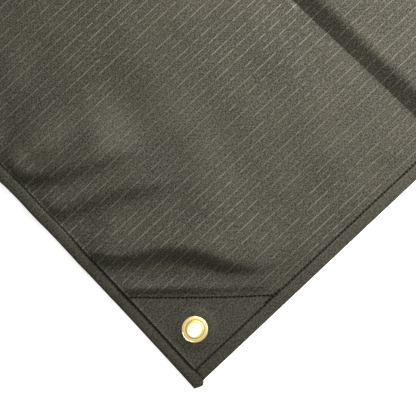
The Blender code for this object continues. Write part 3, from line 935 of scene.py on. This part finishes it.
def stitch_beads(line, ups, sink=0.0):
    """Beads of thread along a line of surface points, each lying along it."""
    line, ups = np.asarray(line), np.asarray(ups)
    steps = np.linalg.norm(np.diff(line, axis=0), axis=1)
    run = np.concatenate([[0.0], np.cumsum(steps)])
    count = int(run[-1] / STITCH)
    points, faces = [], []
    for stitch in range(count):
        start = stitch * STITCH + STITCH_GAP / 2
        base = len(points)
        for ring in range(BEAD_RINGS):
            part = ring / (BEAD_RINGS - 1)
            at = start + (STITCH - STITCH_GAP) * part
            place = np.array([np.interp(at, run, line[:, axis]) for axis in range(3)])
            ahead = np.array([np.interp(at + 0.0005, run, line[:, axis]) for axis in range(3)])
            up = np.array([np.interp(at, run, ups[:, axis]) for axis in range(3)])
            up = up / np.linalg.norm(up)
            along = ahead - place
            if np.linalg.norm(along) < 1e-7:
                along = line[-1] - line[-2]
            side = np.cross(up, along / np.linalg.norm(along))
            side = side / np.linalg.norm(side)
            bulge = math.sin(math.pi * (0.12 + 0.76 * part))
            centre = place + up * (THREAD * (0.9 * bulge - 0.45) - sink)
            for turn in range(BEAD_SIDES):
                angle = math.tau * turn / BEAD_SIDES
                radius = THREAD * (0.45 + 0.55 * bulge)
                points.append(centre + radius * (side * math.cos(angle) + up * math.sin(angle) * 0.8))
        for ring in range(BEAD_RINGS - 1):
            for turn in range(BEAD_SIDES):
                after = (turn + 1) % BEAD_SIDES
                first = base + ring * BEAD_SIDES
                second = first + BEAD_SIDES
                faces.append((first + turn, first + after, second + after, second + turn))
        faces.append(tuple(base + turn for turn in range(BEAD_SIDES))[::-1])
        last = base + (BEAD_RINGS - 1) * BEAD_SIDES
        faces.append(tuple(last + turn for turn in range(BEAD_SIDES)))
    return points, faces


def joined(parts):
    """Several lists of points and faces as one."""
    points, faces = [], []
    for more_points, more_faces in parts:
        shift = len(points)
        points += list(more_points)
        faces += [tuple(point + shift for point in face) for face in more_faces]
    return points, faces


# %% Stitch the hems
hem_row = HEM_LINES.index(STITCH_LINE)
last_row = row_count - 1 - FAR_HEM_LINES.index(STITCH_LINE)
hem_column = hem_row
last_column = column_count - 1 - FAR_HEM_LINES.index(STITCH_LINE)


def seam(rows_taken, columns_taken):
    """The points of a seam on the front face, and the directions out of the cloth there."""
    line = front[rows_taken, columns_taken]
    out = line - back[rows_taken, columns_taken]
    return line, out / np.linalg.norm(out, axis=-1, keepdims=True)


inner_rows = slice(hem_row, last_row + 1)
whole_width = slice(1, column_count - 1)
seams = [
    seam(inner_rows, hem_column),
    seam(inner_rows, last_column),
    seam(hem_row, whole_width),
    seam(last_row, whole_width),
]
hem_stitches = mesh_object("hem_stitches", *joined([stitch_beads(*one) for one in seams]))
print(f"hem stitches: {len(hem_stitches.data.polygons)} faces")


# %% Stitch the patches
def surface_point(x, y):
    """The front face of the flap or of the end, at one place measured from the flap's corner."""
    edge = min(x, y, END_X - x, TARP_WIDTH - y)
    half = float(half_thickness(np.array(edge), np.array(y)))
    lift = float(corner_lift(np.array(x), np.array(y)))
    lift += float(flap_lift(np.array(x), np.array(y))) if x < FLAP_RUN else 0.0
    return np.array([x, y, 2 * half + lift]) + ORIGIN


PATCH_SEAM = ((0.0104, 0.0910), (0.0345, 0.0680), (0.0560, 0.0480), (0.0760, 0.0300), (0.0990, 0.0104))


BACK_TACKS = (  # short seams beside the hem's own, where the sewer went back and forth
    ((0.0113, 0.1010), (0.0113, 0.0780)),
    ((0.0880, 0.0114), (0.1080, 0.0114)),
    ((0.0116, 0.0110), (0.0113, 0.0016)),
)


def sewn_line(corner, line):
    """Stitches along a line of places, each measured from its corner's two edges."""
    places = np.array(line)
    steps = np.concatenate([[0.0], np.cumsum(np.linalg.norm(np.diff(places, axis=0), axis=1))])
    points = []
    for at in np.linspace(0.0, steps[-1], max(int(steps[-1] / 0.002), 4)):
        across = np.interp(at, steps, places[:, 0])
        along = np.interp(at, steps, places[:, 1])
        points.append(surface_point(*corner_place(corner, across, along)))
    return stitch_beads(points, [(0.0, 0.0, 1.0)] * len(points))


corner_lines = (PATCH_SEAM, *BACK_TACKS)
patch_lines = [sewn_line(corner, line) for corner in CORNERS for line in corner_lines]
patch_stitches = mesh_object("patch_stitches", *joined(patch_lines))
print(f"patch stitches: {len(patch_stitches.data.polygons)} faces")

# %% [markdown]
# ## Materials
#
# One small function adds a node with its settings and its links. The canvas is a plain weave of
# dyed cotton and polyester with a thicker rib thread every 4.2 mm, proofed so that it has a faint
# rubbery gloss. The ribs run across the folds. Their threads are thick and pale, and they show
# as broken lines because the proofing covers them unevenly.


# %% Node helper
def node(tree, kind, sockets, **settings):
    """Adds a node. sockets gives each input a value or the output that feeds it. Returns the outputs."""
    made = tree.nodes.new(kind)
    for name, value in settings.items():
        setattr(made, name, value)
    for name, value in sockets.items():
        if isinstance(value, bpy.types.NodeSocket):
            tree.links.new(value, made.inputs[name])
        else:
            made.inputs[name].default_value = value
    return made.outputs


MATH, RANGE, NOISE, MIX = "ShaderNodeMath", "ShaderNodeMapRange", "ShaderNodeTexNoise", "ShaderNodeMix"


def new_material(name):
    material = bpy.data.materials.new(name)
    material.use_nodes = True
    return material, material.node_tree, material.node_tree.nodes["Principled BSDF"]


# %% Ripstop canvas: where a place is on the cloth
RIB_PITCH = 0.0084
canvas, tree, shader = new_material("proofed ripstop canvas")
cloth_place = node(tree, "ShaderNodeUVMap", {}, uv_map="cloth")["UV"]
split = node(tree, "ShaderNodeSeparateXYZ", {"Vector": cloth_place})
run, width = split["X"], split["Y"]
edge_run = node(tree, MATH, {0: run, 1: TARP_LENGTH / 2}, operation="PINGPONG")[0]
edge_width = node(tree, MATH, {0: width, 1: TARP_WIDTH / 2}, operation="PINGPONG")[0]
edge_off = node(tree, MATH, {0: edge_run, 1: edge_width}, operation="MINIMUM")[0]

# the weave is pressed flat in the hems
WEAVE_STARTS, WEAVE_FULL, WEAVE_IN_HEM = 0.0095, 0.0125, 0.18
field_range = {"Value": edge_off, "From Min": WEAVE_STARTS, "From Max": WEAVE_FULL, "To Min": WEAVE_IN_HEM}
in_field = node(tree, RANGE, field_range)[0]

# grains of noise per metre along the cloth's run and across it, and how much finer detail each has
Grain = namedtuple("Grain", "run width detail")
GRAINS = {
    "dashes": Grain(190.0, 130.0, 0.0),
    "faint dashes": Grain(210.0, 150.0, 0.0),
    "rib_light_patches": Grain(9.0, 9.0, 1.0),
    # broad patches in which the ribs are painted as catching more light
    "patchy": Grain(24.0, 24.0, 3.0),
    # the real threads are 0.5 mm apart, too fine to show, so these are drawn twice as coarse
    "warp": Grain(620.0, 1250.0, 0.0),
    "weft": Grain(1250.0, 620.0, 0.0),
}
noises = {}
for name, grain in GRAINS.items():
    scale = {0: cloth_place, 1: (grain.run, grain.width, 1.0)}
    place = node(tree, "ShaderNodeVectorMath", scale, operation="MULTIPLY")["Vector"]
    noises[name] = node(tree, NOISE, {"Vector": place, "Scale": 1.0, "Detail": grain.detail})["Fac"]
print(f"{len(noises)} noises over the cloth")

# %% Ripstop canvas: ribs
RIB_SHARE = 0.075  # half a rib's width, as a share of the pitch
Rib = namedtuple("Rib", "shift noise low high least most")
RIBS = (
    Rib(shift=0.0, noise="dashes", low=0.34, high=0.54, least=0.10, most=1.0),
    Rib(shift=0.5, noise="faint dashes", low=0.45, high=0.62, least=0.0, most=0.42),
)
pitches = node(tree, MATH, {0: width, 1: RIB_PITCH}, operation="DIVIDE")[0]
strengths = []
for rib in RIBS:
    moved = node(tree, MATH, {0: pitches, 1: rib.shift}, operation="ADD")[0]
    off = node(tree, MATH, {0: moved, 1: 0.5}, operation="PINGPONG")[0]
    line = node(tree, RANGE, {"Value": off, "From Max": RIB_SHARE, "To Min": 1.0, "To Max": 0.0})[0]
    dash_range = {"From Min": rib.low, "From Max": rib.high, "To Min": rib.least, "To Max": rib.most}
    dashes = node(tree, RANGE, {"Value": noises[rib.noise], **dash_range})[0]
    strengths.append(node(tree, MATH, {0: line, 1: dashes}, operation="MULTIPLY")[0])
both = node(tree, MATH, {0: strengths[0], 1: strengths[1]}, operation="MAXIMUM")[0]
# painted light: the ribs are painted stronger in broad patches and fainter between them, for the way the
# light catches them
rib_light_range = {"From Min": 0.35, "From Max": 0.65, "To Min": 0.45}
rib_light_patches = node(tree, RANGE, {"Value": noises["rib_light_patches"], **rib_light_range})[0]
patchily_lit_ribs = node(tree, MATH, {0: both, 1: rib_light_patches}, operation="MULTIPLY")[0]
field_ribs = node(tree, MATH, {0: patchily_lit_ribs, 1: in_field}, operation="MULTIPLY")[0]
# painted shade: near each corner, over the patch and a little past it, the ribs are painted fainter, for the
# weaker light at the flap's corner
legs_width = node(tree, MATH, {0: edge_width, 1: PATCH_LEG_Y}, operation="DIVIDE")[0]
legs_parts = {0: edge_run, 1: 1 / PATCH_LEG_X, 2: legs_width}
legs_off = node(tree, MATH, legs_parts, operation="MULTIPLY_ADD")[0]
corner_rib_shade_range = {"From Min": 1.15, "From Max": 1.5, "To Min": 0.4}
corner_rib_shade = node(tree, RANGE, {"Value": legs_off, **corner_rib_shade_range})[0]
ribs = node(tree, MATH, {0: field_ribs, 1: corner_rib_shade}, operation="MULTIPLY")[0]

# %% Ripstop canvas: colour
# the last of these colours is painted shade along the stitch lines
DARK_THREAD, PALE_THREAD, RIB_THREAD, STITCH_SHADE = "0f0e07", "3a372b", "59554a", "0c0b06"
PATCHY_SHARE = 0.20
threads = node(tree, MATH, {0: noises["warp"], 1: noises["weft"]}, operation="ADD")[0]
grain = node(tree, RANGE, {"Value": threads, "From Min": 0.85, "From Max": 1.15})[0]
patchy = node(tree, RANGE, {"Value": noises["patchy"], "From Min": 0.3, "From Max": 0.7})[0]
patchy_part = node(tree, MATH, {0: patchy, 1: PATCHY_SHARE}, operation="MULTIPLY")[0]
shade_parts = {0: grain, 1: 1 - PATCHY_SHARE, 2: patchy_part}
shade = node(tree, MATH, shade_parts, operation="MULTIPLY_ADD")[0]
plain = {0: shade, 6: linear(DARK_THREAD), 7: linear(PALE_THREAD)}
plain_colour = node(tree, MIX, plain, data_type="RGBA")[2]
ribbed_colour = node(tree, MIX, {0: ribs, 6: plain_colour, 7: linear(RIB_THREAD)}, data_type="RGBA")[2]

# painted shade: along each stitch line the cloth is painted darker, for the shade of the tight thread and of
# the groove it pulls, and a little dirt; the flap's own line runs on over the other hem
from_run = node(tree, MATH, {0: edge_run, 1: STITCH_LINE}, operation="SUBTRACT")[0]
from_width = node(tree, MATH, {0: edge_width, 1: STITCH_LINE}, operation="SUBTRACT")[0]
off_run = node(tree, MATH, {0: from_run}, operation="ABSOLUTE")[0]
off_width = node(tree, MATH, {0: from_width}, operation="ABSOLUTE")[0]
under_hem = node(tree, MATH, {0: edge_run, 1: STITCH_LINE}, operation="LESS_THAN")[0]
seen_width = node(tree, MATH, {0: off_width, 1: under_hem}, operation="ADD")[0]
off_needle = node(tree, MATH, {0: off_run, 1: seen_width}, operation="MINIMUM")[0]
stitch_shade_range = {"From Min": 0.0006, "From Max": 0.0013, "To Min": 0.75, "To Max": 0.0}
stitch_shade_mask = node(tree, RANGE, {"Value": off_needle, **stitch_shade_range})[0]
seam_mix = {0: stitch_shade_mask, 6: ribbed_colour, 7: linear(STITCH_SHADE)}
seam_colour = node(tree, MIX, seam_mix, data_type="RGBA")[2]
tree.links.new(seam_colour, shader.inputs["Base Color"])

# %% Ripstop canvas: surface
height = node(tree, MATH, {0: grain, 1: 0.6, 2: ribs}, operation="MULTIPLY_ADD")[0]
bump = node(tree, "ShaderNodeBump", {"Strength": 0.5, "Distance": 0.00018, "Height": height})["Normal"]
tree.links.new(bump, shader.inputs["Normal"])
shader.inputs["Roughness"].default_value = 0.68
shader.inputs["IOR"].default_value = 1.48
shader.inputs["Specular IOR Level"].default_value = 0.25

# %% [markdown]
# Bonded polyester thread is nearly black. Its fuzz is finer than a tenth of a millimetre.

# %% Thread
thread, tree, shader = new_material("bonded polyester thread")
fuzz = node(tree, NOISE, {"Scale": 1800.0, "Detail": 1.0})["Fac"]
thread_mix = {0: fuzz, 6: linear("100c06"), 7: linear("201a0f")}
tree.links.new(node(tree, MIX, thread_mix, data_type="RGBA")[2], shader.inputs["Base Color"])
shader.inputs["Roughness"].default_value = 0.55
shader.inputs["IOR"].default_value = 1.55
shader.inputs["Specular IOR Level"].default_value = 0.05

# %% [markdown]
# The eyelet is stamped from brass strip and lacquered: pale gold and satin, with small dull spots
# where fingers have been, and a thin dark line where the rolled lip meets the washer.

# %% Stamped brass
CREASE_REACH = 0.0074  # from the hole's middle to the crease between lip and washer
brass, tree, shader = new_material("stamped lacquered brass")
spots = node(tree, NOISE, {"Scale": 260.0, "Detail": 3.0})["Fac"]
brass_mix = {0: spots, 6: linear("f0d27c"), 7: linear("fff0b4")}
brass_colour = node(tree, MIX, brass_mix, data_type="RGBA")[2]
turned_place = node(tree, "ShaderNodeUVMap", {}, uv_map="turned")["UV"]
reach = node(tree, "ShaderNodeSeparateXYZ", {"Vector": turned_place})["X"]
from_crease = node(tree, MATH, {0: reach, 1: CREASE_REACH}, operation="SUBTRACT")[0]
off_crease = node(tree, MATH, {0: from_crease}, operation="ABSOLUTE")[0]
# a thin ring at the crease between the rolled lip and the washer is painted darker
crease_ring_range = {"From Min": 0.0001, "From Max": 0.0006, "To Min": 0.6, "To Max": 0.0}
crease_ring = node(tree, RANGE, {"Value": off_crease, **crease_ring_range})[0]
crease_ring_mix = {0: crease_ring, 6: brass_colour, 7: linear("8a7328")}
tree.links.new(node(tree, MIX, crease_ring_mix, data_type="RGBA")[2], shader.inputs["Base Color"])
dull_range = {"From Min": 0.3, "From Max": 0.7, "To Min": 0.34, "To Max": 0.46}
tree.links.new(node(tree, RANGE, {"Value": spots, **dull_range})[0], shader.inputs["Roughness"])
shader.inputs["Metallic"].default_value = 1.0

# %% Plain white floor
white, tree, shader = new_material("white paper")
shader.inputs["Base Color"].default_value = linear("f6f6f4")
shader.inputs["Emission Color"].default_value = linear("ffffff")
shader.inputs["Emission Strength"].default_value = TABLE_GLOW
shader.inputs["Roughness"].default_value = 0.9
floor.data.materials.append(white)

# %% Give every piece its material
for piece in [canvas_tarp] + patches:
    piece.data.materials.append(canvas)
for piece in (hem_stitches, patch_stitches):
    piece.data.materials.append(thread)
for piece in eyelets + washers:
    piece.data.materials.append(brass)
